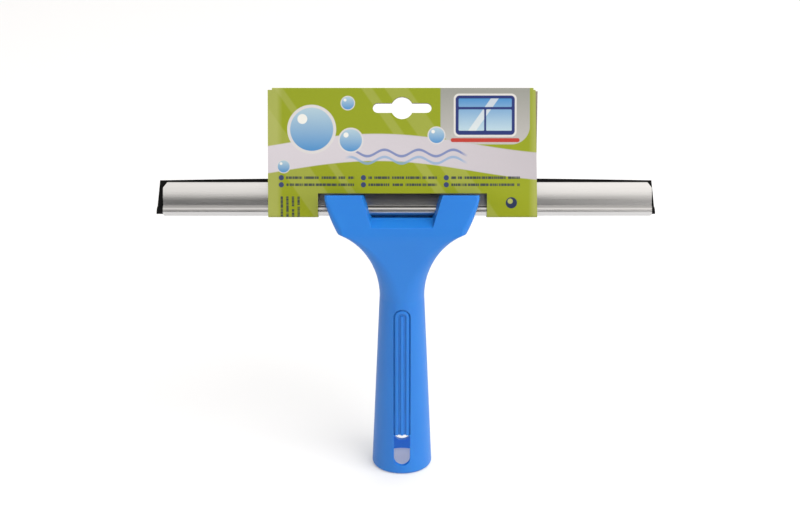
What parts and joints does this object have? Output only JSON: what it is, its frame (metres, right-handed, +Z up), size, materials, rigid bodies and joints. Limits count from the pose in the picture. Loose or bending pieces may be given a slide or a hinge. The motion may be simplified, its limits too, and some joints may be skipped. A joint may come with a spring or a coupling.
{
  "type": "window squeegee",
  "caption": "Hand squeegee for windows: hollow plastic handle with a two-armed fork that grips an aluminium channel with a rubber blade, in a folded hang card.",
  "frame": {"origin": "middle of the pole socket's mouth, on the face that the squeegee stands on", "axes": "+Z up along the handle, +X along the blade to the right as seen from the front, -Y is the front, which shows the grip ribs and the channel's plate"},
  "size_m": [0.2498, 0.0367, 0.1995],
  "materials": {
    "handle_plastic": "satin moulded polypropylene, mid blue",
    "channel_aluminium": "satin silver anodised extrusion with fine draw lines along its length",
    "blade_rubber": "black extruded rubber, satin",
    "printed_card": null
  },
  "bodies": {
    "handle": {"handle": "handle_plastic"},
    "channel": {"channel": "channel_aluminium"},
    "blade": {"rubber_blade": "blade_rubber"},
    "card": {"card_sleeve": "printed_card"}
  },
  "joints": [
    {"name": "channel_slide", "type": "slide", "parent": "handle", "child": "channel", "axis": [1, 0, 0], "range_m": [-0.08, 0.08]},
    {"name": "blade_slide", "type": "slide", "parent": "channel", "child": "blade", "axis": [1, 0, 0], "range_m": [-0.23, 0.23]},
    {"name": "card_slide", "type": "slide", "parent": "handle", "child": "card", "axis": [1, 0, 0], "range_m": [-0.003, 0.003]}
  ]
}
